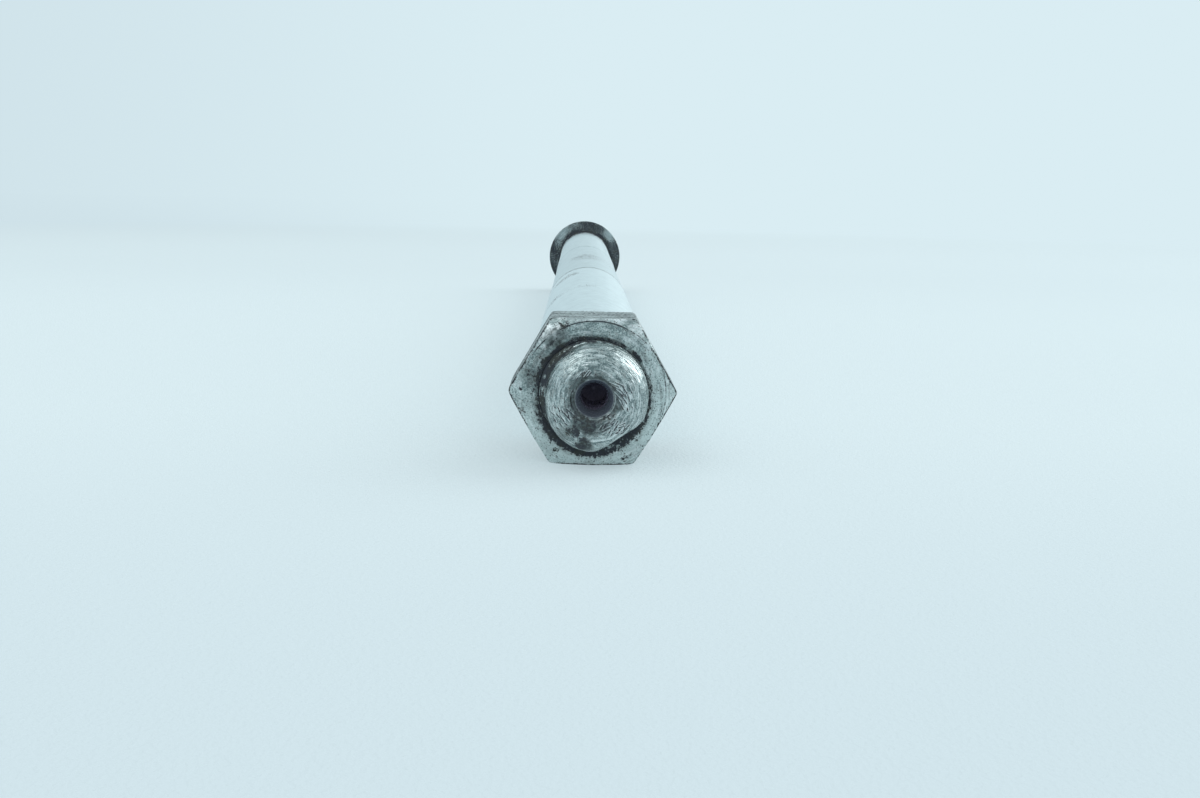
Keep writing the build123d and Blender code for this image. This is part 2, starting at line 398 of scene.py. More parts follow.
def makeRoundEnd(form):
    # Thread, round point, crowned face, bevel, bell-shaped mouth and pilot, turned about the axis;
    # then one side is pressed flat, the end leans a little and small dents cover it
    end = nutFace - boltLow.y
    angles = roundAngles(form["columns"])
    turned = np.degrees(angles)
    radius, out = softSection(roundEndCorners(form, angles, end), angles)
    # the rows past the one where the face meets the bevel are in the hole
    offBevel = np.abs(radius[:, 0] - centreHole["bevelRadius"]) + 9 * (out[:, 0] < end - 1)
    inside = ease(0, 1, np.arange(len(radius))[:, None] - np.argmin(offBevel) + 0.5)
    shell = 1 - inside

    # the thread's last turn runs out into the point, earlier on one side than on the other
    runOut = form["threadOut"] + 0.35 * np.cos(angles - 2.4)
    inThread = (1 - ease(runOut - 0.35, runOut + 0.45, out)) * shell * (radius > 7)
    inThread = inThread * (1 - form["packed"] * ease(-2.2, -0.6, out))
    radius = radius - inThread * thread["depth"] * (1 - threadRidge(-out, angles))
    # smeared turns: thin grooves close to the nut, at the right and at the lower left
    here = np.maximum(ease(0.5, 0.9, np.cos(angles - 0.15)), ease(0.3, 0.8, np.cos(angles - 3.9)))
    grooves = sum(share * hump(out, place, form["grooveWidth"]) for place, share in form["grooves"])
    grooves = np.clip(grooves, 0, 1) * here * shell
    radius = radius - form["grooveDepth"] * grooves
    points = turn(radius, nutFace - out, angles)

    # low places fade in above the nut, and one side is pressed flat, its limit leaning in towards the end
    aboveNut = ease(0.2, 1.1, out)
    for way, wide, deep in form["lows"]:
        hollow = deep / form["radius"] * hump(degreesApart(turned, way), 0, wide) * aboveNut * shell
        points[..., (0, 2)] *= (1 - hollow)[..., None]
    towardsX, towardsZ = direction(form["flatTowards"])
    normal = np.array([towardsX, 0, towardsZ])
    limit = form["flatFrom"] - np.maximum(out, 0) * math.tan(math.radians(form["flatLean"]))
    limit = limit + 0.12 * fractalNoise(points, 2.5, 5, 2)
    over = softExcess(points @ normal - limit, form["flatSoft"])
    points = points - (over * ease(-0.2, 0.5, out) * shell)[..., None] * normal

    # a facet worn into the rounding, its plane set that deep below the outermost point in its direction
    way, slope, deep, soft = form["facet"]
    towardsX, towardsZ = direction(way)
    tilt = math.radians(slope)
    normal = np.array([math.sin(tilt) * towardsX, -math.cos(tilt), math.sin(tilt) * towardsZ])
    reached = points @ normal
    over = softExcess(reached - reached.max() + deep, soft)
    points = points - (over * shell)[..., None] * normal

    # the end leans, and the hole sits a little off the middle
    bodyShare = ease(2.8, 6.0, radius) * shell
    leaning = ease(-0.5, 2.5, out) * shell + inside
    for axis, ofBody, ofHole in zip((0, 2), form["lean"], form["holeShift"]):
        points[..., axis] += leaning * (bodyShare * ofBody + (1 - bodyShare) * ofHole)
    points = roughen(points, form["skin"], ease(-1.0, 0.3, out) * (1 - 0.8 * inside))
    points[..., 1] = np.maximum(points[..., 1], boltLow.y + 0.004)
    masks = roundEndMasks(form, points, angles, radius, out, end, inside, grooves)
    return addSurface("boltRoundEnd", points, masks)


bareThread = {
    "columns": 180,
    "undercut": 3.0,  # the length of the run-out groove
    "intoNut": 3.0,
    "intoShank": 3.0,
    "rowEvery": 0.08,
    "skin": [(0.8, 0.02, 13, 3)],
}


def makeBareThread(form):
    # A straight bar with the screw's groove cut into it, then a plain undercut that runs into the shank
    crest, root = thread["radius"], thread["radius"] - thread["depth"]
    start, stop = nutSeat - form["intoNut"], shoulder + form["intoShank"]
    under = shoulder - form["undercut"]
    rows = int((under - start) / form["rowEvery"])
    corners = [(0, start, 0, 2), (crest, start, 0, rows), (crest, under, 0, 5),
               (root, under + thread["depth"], 0.2, 14), (root, shoulder, 0, 3), (root, stop, 0, 2),
               (0, stop, 0, 1)]
    angles = roundAngles(form["columns"])
    radius, along = softSection(corners, angles)
    cut = np.minimum(radius, root + thread["depth"] * threadRidge(along, angles))
    radius = np.where(radius > root, cut, radius)
    points = roughen(turn(radius, along, angles), form["skin"])
    inRoot = (1 - ease(root + 0.1, root + 0.7, radius)) * 0.75
    grime = np.clip(inRoot + 0.35 * fractalNoise(points, 2.0, 17), 0, 1)
    return addSurface("boltThread", points, {"grime": grime, "inHole": np.zeros(along.shape)}, sharp=60)


shank = {
    "columns": 192,
    "rowEvery": 1.6,
    "journal": 104.0,  # the length of each
    "reliefDepth": 0.15,
    "taper": 0.6,
    "chamfer": 1.0,
    "fillet": 1.0,
    "intoHead": 1.2,
    "skin": [(9.0, 0.02, 19, 2)],
    # (place, half length, strength)
    "smudges": [(nutFace + 68, 7, 0.25), (nutFace + 105, 5, 0.15), (nutFace + 168, 12, 0.3)],
    "edgeSmudge": (2.4, 0.62, 0.25),  # at the first journal's end: half length, strength, and how patchy
}


def makeShank(form):
    # A bar with a chamfer at the thread, two journals, the lower middle between them and a fillet at the head
    low = shankRadius - form["reliefDepth"]
    foot = shankRadius + form["fillet"]
    first, second = shoulder + form["journal"], -form["journal"]
    rows = int(form["journal"] / form["rowEvery"])
    corners = [(0, shoulder, 0, 3), (shankRadius - form["chamfer"], shoulder, 0.12, 3),
               (shankRadius, shoulder + form["chamfer"], 0.12, rows), (shankRadius, first, 0.2, 2),
               (low, first + form["taper"], 0.2, rows), (low, second - form["taper"], 0.2, 2),
               (shankRadius, second, 0.2, rows), (shankRadius, -form["fillet"], 0.25, 4),
               (foot, 0, 0.25, 2), (foot, form["intoHead"], 0, 2), (0, form["intoHead"], 0, 1)]
    angles = roundAngles(form["columns"])
    radius, along = softSection(corners, angles)
    points = roughen(turn(radius, along, angles), form["skin"])

    relief = ease(first - 0.5, first + 1, along) * (1 - ease(second - 1, second + 0.5, along))
    smudges = form["smudges"] + [(first, 1.2, 0.2), (second, 1.2, 0.4), (shoulder + 1, 3, 0.5), (-1, 3, 0.7)]
    smudge = sum(strength * hump(along, place, length) for place, length, strength in smudges)
    patchy = fractalNoise(points * (1, 0.35, 1), 7.0, 23, 4)
    grime = smudge * (0.7 + 1.2 * patchy) + 0.10 * relief + 0.25 * ease(0.25, 0.6, patchy)
    length, strength, uneven = form["edgeSmudge"]
    grime = np.maximum(grime, (strength + uneven * patchy) * hump(along, first, length))
    grime = np.clip(np.maximum(grime, ease(0.05, 0.3, radius - shankRadius)), 0, 1)
    # painted light and shade: the first journal is painted lighter, the lower middle a little darker,
    # and the right side darker than the left, which dims the lamp's highlight there
    cleanAndPaintedLight = 0.10 * ease(first + 6, first - 6, along) - 0.03 * relief
    cleanAndPaintedLight = cleanAndPaintedLight - 0.17 * ease(0.35, 1.0, np.cos(angles)) + 0.05 * ease(0.3, 0.9, -np.cos(angles))
    return addSurface("boltShank", points, {"grime": grime, "inHole": np.zeros(along.shape), "cleanAndPaintedLight": cleanAndPaintedLight})


head = {
    "columns": 600,
    "flats": 11.0,  # from the axis
    "rim": 2.2,
    "slope": 18,  # of the flange's top
    "rimEdge": 0.5,
    "faceShare": 0.97,  # the face's ring against the flats
    "cornerAngle": 30,
    "sharpness": 75,
    "intoShank": 1.5,
    "skin": [(2.5, 0.035, 29, 4), (0.8, 0.012, 37, 2)],
    "paintedGlintsAt": [(132, 20), (42, 13)],  # painted highlights on the seat, lighter patches where its edge glints: (direction, half width)
}


def makeHead(form):
    # A flange with a sloping top, a hexagon rising from the slope, its turned corners, face and centre hole
    angles = roundAngles(form["columns"])
    wall = hexRadius(angles, form["flats"], form["sharpness"])
    flange, face = boltHigh.x, boltHigh.y
    ring = form["flats"] * form["faceShare"]
    foot = form["rim"] + (flange - wall) * math.tan(math.radians(form["slope"]))
    crown = face - (wall - ring) * math.tan(math.radians(form["cornerAngle"]))
    inner, start = shankRadius - 0.5, -form["intoShank"]
    corners = [(0, start, 0, 2), (inner, start, 0, 3), (inner, 0, 0, 12), (flange, 0, form["rimEdge"], 4),
               (flange, form["rim"], form["rimEdge"], 14), (wall, foot, 0.35, 22), (wall, crown, 0.18, 9),
               (ring, face, 0.15, 20), *holeCorners(centreHole, face, 0.1, 9, (4, 6, 3))]
    radius, along = softSection(corners, angles)
    points = roughen(turn(radius, along, angles), form["skin"])
    # no point passes the flange's rim or the face
    points[..., (0, 2)] *= np.minimum(1, (flange - 0.02) / np.maximum(awayFrom(points), 1e-6))[..., None]
    points[..., 1] = np.minimum(points[..., 1], face)

    hole = (radius < centreHole["mouthRadius"]) & (along > 0)
    inHole = np.where(hole, ease(0.1, 2.4, face - along), 0)
    inCorner = hump(along, foot, 0.8) * (radius > 9) * (along > 1)
    patchy = fractalNoise(points, 3.5, 43)
    grime = np.maximum(0.8 * inCorner + 0.5 * patchy, 0.35 * ease(0.0, 0.6, patchy))
    grime = np.clip(grime + hole * 0.8, 0, 1)
    seat = (along < 0.2) * (radius > shankRadius)
    # painted highlights: lighter patches on the dark seat
    seatGlint = np.maximum.reduce([hump(np.degrees(angles), way, wide) for way, wide in form["paintedGlintsAt"]])
    onSeat = 0.76 - 0.62 * seatGlint * ease(10.8, 13.0, radius) + 0.25 * patchy
    grime = np.clip(np.maximum(grime * (1 - seat), seat * onSeat), 0, 1)
    return addSurface("boltHead", points, {"grime": grime, "inHole": inHole})


nut = {
    "columns": 720,
    "faceShare": 0.97,  # the face's ring against the flats
    "ringAside": 0.2,  # how far the ring sits to the right
    "cornerAngle": 30,
    "bore": 8.03,
    "outerSink": 8.6,
    "sinkDepth": 0.14,
    "innerSink": 8.4,
    "sharpness": 62,
    "wornLeft": 38,  # the sharpness of the left corner
    "coarseSkin": [(4.0, 0.05, 47, 4)],
    "fineSkin": [(0.8, 0.022, 53, 3)],
    # knocks on the face's edge: (x, z, radius, depth)
    "dents": [(-4.4, 10.4, 0.55, 0.3), (-10.5, -2.7, 0.5, 0.3), (-10.6, 0.3, 0.3, 0.15),
              (9.8, 5.7, 0.5, 0.15), (11.9, 0.9, 0.5, 0.15), (5.9, -9.9, 0.6, 0.15)],
    # grime: (x, z, radius, strength)
    "stains": [(-5.6, 7.8, 1.8, 0.4), (-8.8, 1.6, 2.0, 0.45), (-10.6, 0.4, 0.5, 0.9), (-4.3, 10.3, 1.3, 1.0),
               (-7.8, 5.6, 1.7, 0.4), (-10.5, -2.7, 0.8, 0.8), (7.2, -8.4, 1.6, 0.4), (-8.6, -4.6, 1.5, 0.3),
               (5.2, -9.7, 1.5, 0.5), (-5.4, -9.2, 1.6, 0.45), (-9.2, 2.6, 2.2, 0.35), (-2.2, 8.9, 1.6, 0.35),
               (-9.6, -0.6, 1.4, 0.35), (1.0, -10.1, 1.5, 0.3)],
    # a thin soft film of old grease: (x, z, radius, strength)
    "film": [(-5.6, 7.9, 2.4, 0.75), (-8.9, 2.4, 2.6, 0.6), (-7.6, 5.2, 2.0, 0.35), (-9.8, -1.6, 1.8, 0.2),
             (-6.5, -8.0, 2.0, 0.2), (6.6, -8.2, 1.8, 0.2)],
    # painted highlights, bright places where the bevel glints: (x, z, radius, strength)
    "paintedGlints": [(-5.7, 9.2, 1.3, 1.0), (-6.6, 8.2, 0.9, 0.8), (-7.4, 6.9, 0.7, 0.5), (6.6, 9.2, 1.6, 0.5),
               (8.4, 7.0, 1.0, 0.4)],
    # packed dirt in the countersink: (direction, half width, radius, half breadth, strength)
    "pockets": [(40, 7, 8.5, 0.3, 1.0), (58.5, 3.5, 8.4, 0.15, 0.9), (-14, 8, 8.4, 0.12, 0.8)],
    # by direction: how strong the dirt round the bolt is, and out to which radius it spills
    "spill": [(0, 0.7), (30, 0.35), (50, 0.5), (75, 0.75), (95, 1), (120, 1), (168, 0.9), (180, 0.4),
              (192, 0.5), (210, 1), (250, 1), (320, 1), (345, 0.8)],
    "spillTo": [(0, 8.95), (45, 8.6), (90, 8.5), (135, 8.75), (180, 8.95), (225, 9.4), (250, 9.8),
                (270, 9.95), (290, 9.7), (315, 9.45)],
    # the same for the dirt down in the countersink, and for the grease just past the spill
    "sunk": [(0, 0.9), (20, 0.5), (35, 0.25), (60, 0.3), (80, 0.8), (110, 1), (165, 1), (180, 0.55),
             (192, 0.6), (205, 1)],
    "halo": [(0, 0.1), (30, 0.0), (90, 0.2), (130, 0.4), (180, 0.4), (300, 0.3), (330, 0.2)],
    # and for the painted shade lines where the bevel meets the face and the flats
    "faceShadeLine": [(0, 0.6), (40, 0.8), (70, 1), (110, 1), (135, 0.9), (160, 0.4), (200, 0.3), (230, 0.2),
                 (270, 0.1), (320, 0.4)],
    "flatShadeLine": [(0, 0.9), (60, 0.7), (75, 0.0), (105, 0.0), (120, 0.8), (180, 0.9), (200, 0.5), (235, 0.3),
                 (250, 0.9), (290, 0.9), (305, 0.4), (340, 0.6)],
}


def nutMasks(form, points, angles, radius, depth, ring, crown, thick):
    # Dirt fills the countersink, spills past it, least at the upper right, and lies on the sides and back.
    # Each mask is a product of soft steps, humps, tables by direction and noise.
    turned = np.degrees(angles)
    ragged = fractalNoise(points, 1.3, 61, 4)
    fine = fractalNoise(points, 0.5, 67, 3)
    grit = fractalNoise(points, 0.28, 101, 2)
    streaks = fractalNoise(points * (1, 3.5, 1), 7.0, 79, 4)
    near = awayFrom(points)
    onFace = 1 - ease(0.3, 2.0, depth)
    edge = fromTable(form["spillTo"], turned)
    within = 1 - ease(edge - 0.5, edge + 0.4, near + 0.45 * ragged + 0.25 * fine)
    spill = fromTable(form["spill"], turned) * within * (0.85 + 0.5 * ragged)
    stains = spotMask(points, form["stains"], 73, 0.5) * onFace
    stains = stains * (0.62 + 0.9 * fractalNoise(points, 1.3, 89, 5))
    sides = ease(0.3, 1.2, depth - crown) * np.clip(0.44 + 0.45 * streaks, 0, 0.62) * (radius > 10)
    back = 0.5 * ease(thick - 0.4, thick, depth) * (0.6 + ragged)
    sunk = (radius < 8.3) * fromTable(form["sunk"], turned) * (0.9 + 0.8 * fine)
    pockets = 0
    for way, wide, out, broad, strong in form["pockets"]:
        aside, away = degreesApart(turned, way) / wide, (near + 0.15 * fine - out) / broad
        pockets = pockets + strong * np.exp(-aside ** 4 - away ** 2)
    grime = np.clip(np.maximum.reduce([spill, stains, sides, back, sunk, 1.6 * (pockets * onFace)]), 0, 1.3)

    # thin painted shade lines, as shadow in the creases where the bevel meets the face and the flats, and
    # where the sides meet the back
    faceShadeLine = hump(radius, ring, 0.10) * hump(depth, 0, 0.12) * fromTable(form["faceShadeLine"], turned)
    flatShadeLine = hump(depth, crown, 0.16) * (radius > ring + 0.02) * fromTable(form["flatShadeLine"], turned)
    backShadeLine = hump(depth, thick, 0.35) * (radius > ring) * 0.8
    paintedShadeLines = np.maximum.reduce([faceShadeLine, flatShadeLine, backShadeLine]) * (1 + 0.6 * ragged)
    grime = np.clip(np.maximum(grime, paintedShadeLines), 0, 1)

    halo = fromTable(form["halo"], turned) * (1 - ease(edge - 0.3, edge + 0.9, near + 0.6 * ragged))
    film = np.maximum(spotMask(points, form["film"], 77, 0.5), halo) * onFace
    bevel = ease(0.02, 0.15, depth) * (1 - ease(-0.05, 0.25, depth - crown)) * (radius > 10)
    # painted highlights: a sheen along the crease at the top and glints on the upper bevel; the bevel itself
    # is worn bright all round
    paintedTopSheen = 0.7 * hump(depth, crown, 0.3) * (radius > ring + 0.05) * ease(0.6, 0.9, np.sin(angles))
    paintedGlint = spotMask(points, form["paintedGlints"], 97, 0.6)
    wornAndPaintedHighlight = paintedTopSheen * (0.5 + 1.2 * ragged) + bevel * ease(0, 0.4, fine + 0.5 * ragged) * 0.5
    wornAndPaintedHighlight = wornAndPaintedHighlight + paintedGlint * (1.0 + 0.9 * fine + 1.3 * grit)
    # painted light and shade: the face is painted lighter towards the bottom and the right, and darker
    # towards the top
    cleanAndPaintedLight = 0.27 * ease(3, -9, points[..., 2]) + 0.11 * ease(5, 10, points[..., 0])
    cleanAndPaintedLight = cleanAndPaintedLight - 0.07 * ease(5, 10, points[..., 2])
    return {
        "grime": grime * (1 - 0.85 * np.clip(paintedGlint, 0, 1)),
        "inHole": (radius < 8.1) * 0.6,
        "wornAndPaintedHighlight": np.clip(wornAndPaintedHighlight, 0, 1),
        "cleanAndPaintedLight": (cleanAndPaintedLight + 0.03) * onFace,
        "film": film,
    }


def makeNut(form):
    # A hexagon with a turned bevel on its corners, a countersink at each end and a bore, as one closed ring
    angles = roundAngles(form["columns"])
    left = ease(math.radians(18), 0, np.abs(angles - math.pi))
    wall = hexRadius(angles, nutHigh.z, form["sharpness"] + (form["wornLeft"] - form["sharpness"]) * left)
    ring = nutHigh.z * form["faceShare"] + form["ringAside"] * np.cos(angles)
    thick = nutSeat - nutFace
    crown = (wall - ring) * math.tan(math.radians(form["cornerAngle"]))
    bore, innerSink = form["bore"], form["innerSink"]
    corners = [(form["outerSink"], 0, 0.1, 8), (bore, form["sinkDepth"], 0.03, 10),
               (bore, thick - innerSink + bore, 0.1, 3), (innerSink, thick, 0.1, 12),
               (wall, thick, 0.16, 40), (wall, crown, 0.14, 12), (ring, 0, 0.12, 18)]
    radius, depth = softSection(corners, angles, closed=True)
    points = turn(radius, nutFace + depth, angles)
    outer = ease(8.1, 8.5, radius)
    points = roughen(points, form["coarseSkin"], outer * (1 - 0.5 * ease(0.5, 2.5, depth)))
    points = roughen(points, form["fineSkin"], outer)
    # each knock presses the face in, and pulls its edge towards the axis
    for x, z, size, deep in form["dents"]:
        far = awayFrom(points, x, z) + 0.45 * depth
        pull = deep * (1 - ease(0, 1, far / size * (1 + 0.3 * fractalNoise(points, 0.6, 59, 2))))
        points[..., 1] += pull * 0.8
        reach = awayFrom(points)
        for axis in (0, 2):
            points[..., axis] -= pull * 0.6 * points[..., axis] / reach
    points[..., 2] = np.clip(points[..., 2], nutLow.z + 0.002, nutHigh.z - 0.002)
    masks = nutMasks(form, points, angles, radius, depth, ring, crown, thick)
    return addSurface("hexNut", points, masks, closed=True)


def put(tree, kind, inputs=None, **settings):
    # One shader node, its settings, and its inputs as links or plain values
    made = tree.nodes.new("ShaderNode" + kind)
    for name, value in settings.items():
        setattr(made, name, value)
    for key, value in (inputs or {}).items():
        if isinstance(value, bpy.types.NodeSocket):
            tree.links.new(value, made.inputs[key])
        else:
            made.inputs[key].default_value = value
    return made


def mathOf(tree, operation, a, b=0.0, clamp=False):
    return put(tree, "Math", {0: a, 1: b}, operation=operation, use_clamp=clamp).outputs[0]


def vectorOf(tree, operation, a, b):
    return put(tree, "VectorMath", {0: a, 1: b}, operation=operation).outputs[0]


def lengthOf(tree, vector):
    return put(tree, "VectorMath", {0: vector}, operation="LENGTH").outputs["Value"]


def stepOf(tree, value, low, high, bottom=0.0, top=1.0):
    limits = {"Value": value, "From Min": low, "From Max": high, "To Min": bottom, "To Max": top}
    return put(tree, "MapRange", limits, interpolation_type="SMOOTHSTEP").outputs["Result"]


def mixColour(tree, share, a, b):
    return put(tree, "Mix", {0: share, 6: a, 7: b}, data_type="RGBA").outputs[2]


def noiseOf(tree, vector, scale, detail, roughness=0.55):
    settings = {"Vector": vector, "Scale": scale, "Detail": detail, "Roughness": roughness}
    return put(tree, "TexNoise", settings).outputs["Fac"]


def weighted(tree, shares):
    # The sum of each noise's swing about its middle, times its own share
    total = 0.0
    for noise, share in shares.items():
        swing = mathOf(tree, "SUBTRACT", noise, 0.5)
        total = put(tree, "Math", {0: swing, 1: share, 2: total}, operation="MULTIPLY_ADD").outputs[0]
    return total


def newTree(owner):
    # The owner's node tree, emptied
    owner.use_nodes = True
    owner.node_tree.nodes.clear()
    return owner.node_tree


boltSteel = {
    "dark": (0.163, 0.213, 0.218, 1),
    "light": (0.565, 0.645, 0.640, 1),
    "bright": (0.90, 0.95, 0.96, 1),
    "grime": (0.034, 0.042, 0.052, 1),
    "olive": (0.042, 0.050, 0.048, 1),
    "film": (0.085, 0.102, 0.103, 1),
    "hole": (0.072, 0.088, 0.112, 1),  # the mouth's wall
    "deep": (0.165, 0.16, 0.225, 1),  # and the wall past it, painted lighter as little light comes there
    "roughness": (0.14, 0.32),
    "across": 2.8,  # brush lines to the millimetre
    "round": 4.6,  # changes along the brush lines, round the axis
    "wander": 0.9,  # how far the brush lines stray
    "weights": {"patch": 0.6, "grain": 0.4, "fine": 0.8, "brush": 0.8},  # shares in the tone
    "depths": {"brush": 0.10, "grain": 0.03, "fine": 0.012},  # of the relief, in millimetres
    "scratches": 0.5,
    "scratchDepth": 0.03,
    "specks": 0.6,
}
shankSteel = dict(
    boltSteel,
    dark=(0.54, 0.62, 0.64, 1),
    light=(0.73, 0.82, 0.84, 1),
    roughness=(0.46, 0.58),
    wander=0.1,
    weights={"patch": 0.5, "grain": 0.12, "fine": 0.15, "brush": 0.5},
    depths={"brush": 0.008, "grain": 0.002, "fine": 0.001},
    scratches=0.2,
    specks=0.05,
)
headSteel = dict(
    boltSteel,
    dark=(0.25, 0.31, 0.32, 1),
    light=(0.51, 0.585, 0.595, 1),
    roughness=(0.36, 0.50),
    wander=0.2,
    round=6.0,
    weights={"patch": 0.5, "grain": 0.35, "fine": 0.6, "brush": 0.45},
    depths={"brush": 0.015, "grain": 0.03, "fine": 0.015},
    scratches=0.25,
    specks=0.5,
)
threadSteel = dict(boltSteel, depths={"brush": 0.02, "grain": 0.03, "fine": 0.01})
nutSteel = dict(
    boltSteel,
    dark=(0.197, 0.252, 0.256, 1),
    light=(0.555, 0.645, 0.638, 1),
    roughness=(0.28, 0.48),
    across=1.8,
    wander=0.4,
    round=6.0,
    weights={"patch": 0.4, "grain": 0.45, "fine": 1.3, "brush": 0.7},
    depths={"brush": 0.02, "grain": 0.05, "fine": 0.035},
    scratches=0.3,
    specks=0.9,
)


def brushPlace(tree, inMm, steel, lengthwise):
    # Where a noise is read for brush lines: the direction from the axis gives two values with no seam, and
    # the place along the axis, or along the profile on an end, the third, which strays by a slow noise
    flat = vectorOf(tree, "MULTIPLY", inMm, (1, 0, 1))
    away = put(tree, "VectorMath", {0: flat}, operation="NORMALIZE").outputs[0]
    along = put(tree, "SeparateXYZ", {0: inMm}).outputs["Y"]
    step = along if lengthwise else mathOf(tree, "ADD", lengthOf(tree, flat), along)
    around = vectorOf(tree, "MULTIPLY", away, (steel["round"],) * 3)
    lines = put(tree, "CombineXYZ", {1: mathOf(tree, "MULTIPLY", step, steel["across"])}).outputs[0]
    stray = put(tree, "TexNoise", {"Vector": inMm, "Scale": 0.35, "Detail": 1.0}).outputs["Color"]
    stray = vectorOf(tree, "MULTIPLY", stray, (0, steel["wander"] * steel["across"], 0))
    return vectorOf(tree, "ADD", vectorOf(tree, "ADD", around, lines), stray)


def addSteel(name, steel, lengthwise):
    # Worn steel: brush lines round the axis, fine grain and dark specks, patches of two tones, edges worn
    # bright, painted highlights, painted light and shade on the tone, and grime where the piece's own masks
    # say
    material = bpy.data.materials.new(name)
    tree = newTree(material)
    place = put(tree, "TexCoord").outputs["Object"]
    inMm = vectorOf(tree, "MULTIPLY", place, (1000, 1000, 1000))
    brushed = brushPlace(tree, inMm, steel, lengthwise)
    noises = {
        "brush": noiseOf(tree, brushed, 1.0, 1.5, 0.5),
        "grain": noiseOf(tree, inMm, 2.2, 1.5, 0.5),
        "fine": noiseOf(tree, inMm, 4.8, 1.0, 0.5),
        "patch": noiseOf(tree, inMm, 0.5, 5.0, 0.65),
    }
    brush, grain, fine, patch = (noises[key] for key in ("brush", "grain", "fine", "patch"))
    swept = noiseOf(tree, vectorOf(tree, "MULTIPLY", brushed, (0.7, 1.15, 0.7)), 1.0, 0.5, 0.5)
    scratch, score = stepOf(tree, swept, 0.60, 0.68), stepOf(tree, swept, 0.40, 0.32)
    dirt, hole, wornAndPaintedHighlight, cleanAndPaintedLight, greasy = (put(tree, "Attribute", attribute_name=mask).outputs["Fac"]
                                       for mask in ("grime", "inHole", "wornAndPaintedHighlight", "cleanAndPaintedLight", "film"))

    # the bare steel with its painted light and shade, brightest where it is worn, scratched or painted
    # with a highlight, under a film of grease
    tone = weighted(tree, {noises[key]: share for key, share in steel["weights"].items()})
    tone = mathOf(tree, "ADD", cleanAndPaintedLight, tone)
    colour = mixColour(tree, stepOf(tree, tone, -0.22, 0.22), steel["dark"], steel["light"])
    scratched = mathOf(tree, "MULTIPLY", scratch, steel["scratches"])
    bare = mathOf(tree, "MAXIMUM", mathOf(tree, "MULTIPLY", wornAndPaintedHighlight, 0.85), scratched)
    colour = mixColour(tree, bare, colour, steel["bright"])
    thinner = mathOf(tree, "ADD", 1.0, weighted(tree, {patch: 1.6, grain: 1.0, brush: 0.8}))
    colour = mixColour(tree, mathOf(tree, "MULTIPLY", greasy, thinner, clamp=True), colour, steel["film"])

    # specks and grime on it, and the hole's tones, the wall past the mouth painted lighter against its shade
    specks = mathOf(tree, "MULTIPLY", stepOf(tree, fine, 0.58, 0.67), stepOf(tree, grain, 0.42, 0.58))
    specks = mathOf(tree, "MAXIMUM", specks, mathOf(tree, "MULTIPLY", score, steel["scratches"]))
    specks = mathOf(tree, "MULTIPLY", specks, steel["specks"])
    broken = mathOf(tree, "ADD", dirt, weighted(tree, {grain: 1.3, fine: 1.3, brush: 0.5}))
    broken = mathOf(tree, "MULTIPLY", broken, stepOf(tree, dirt, 0.02, 0.25))
    cover = mathOf(tree, "MAXIMUM", stepOf(tree, broken, 0.28, 0.72), specks)
    tint = mixColour(tree, stepOf(tree, patch, 0.45, 0.62), steel["grime"], steel["olive"])
    colour = mixColour(tree, cover, colour, tint)
    mouth = stepOf(tree, hole, 0.0, 0.45)
    colour = mixColour(tree, mouth, colour, steel["hole"])
    colour = mixColour(tree, stepOf(tree, hole, 0.55, 1.0), colour, steel["deep"])

    rough = weighted(tree, {grain: 0.5, patch: 0.7, brush: 0.6})
    rough = stepOf(tree, rough, -0.2, 0.2, *steel["roughness"])
    rough = mathOf(tree, "ADD", rough, mathOf(tree, "MULTIPLY", cover, 0.35), clamp=True)
    covered = mathOf(tree, "MULTIPLY", mathOf(tree, "MAXIMUM", cover, mouth), 0.9)
    metal = mathOf(tree, "SUBTRACT", 1.0, covered, clamp=True)
    height = weighted(tree, {noises[key]: depth for key, depth in steel["depths"].items()})
    cut = mathOf(tree, "MAXIMUM", scratch, score)
    cut = mathOf(tree, "MULTIPLY", cut, steel["scratches"] * steel["scratchDepth"])
    height = mathOf(tree, "SUBTRACT", height, cut)
    relief = mathOf(tree, "SUBTRACT", 1.0, mathOf(tree, "MULTIPLY", mouth, 0.85))
    bump = put(tree, "Bump", {"Strength": relief, "Distance": mm, "Height": height}).outputs[0]
    surface = {"Base Color": colour, "Roughness": rough, "Metallic": metal, "Normal": bump,
               "Specular IOR Level": 0.25}
    put(tree, "OutputMaterial", {"Surface": put(tree, "BsdfPrincipled", surface).outputs[0]})
    return material


for piece, finish, node, slot in (
    (makeRoundEnd(roundEnd), addSteel("wornBoltSteel", boltSteel, False), "pivot_bolt", "bolt_steel"),
    (makeBareThread(bareThread), addSteel("threadSteel", threadSteel, True), "pivot_bolt", "bolt_steel"),
    (makeShank(shank), addSteel("groundShankSteel", shankSteel, True), "pivot_bolt", "bolt_steel"),
    (makeHead(head), addSteel("headSteel", headSteel, False), "pivot_bolt", "bolt_steel"),
    (makeNut(nut), addSteel("dullNutSteel", nutSteel, False), "hex_nut", "nut_steel"),
):
    piece.data.materials.append(finish)
    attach(piece, "root")
    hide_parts(node)
print("pieces and their finishes made")


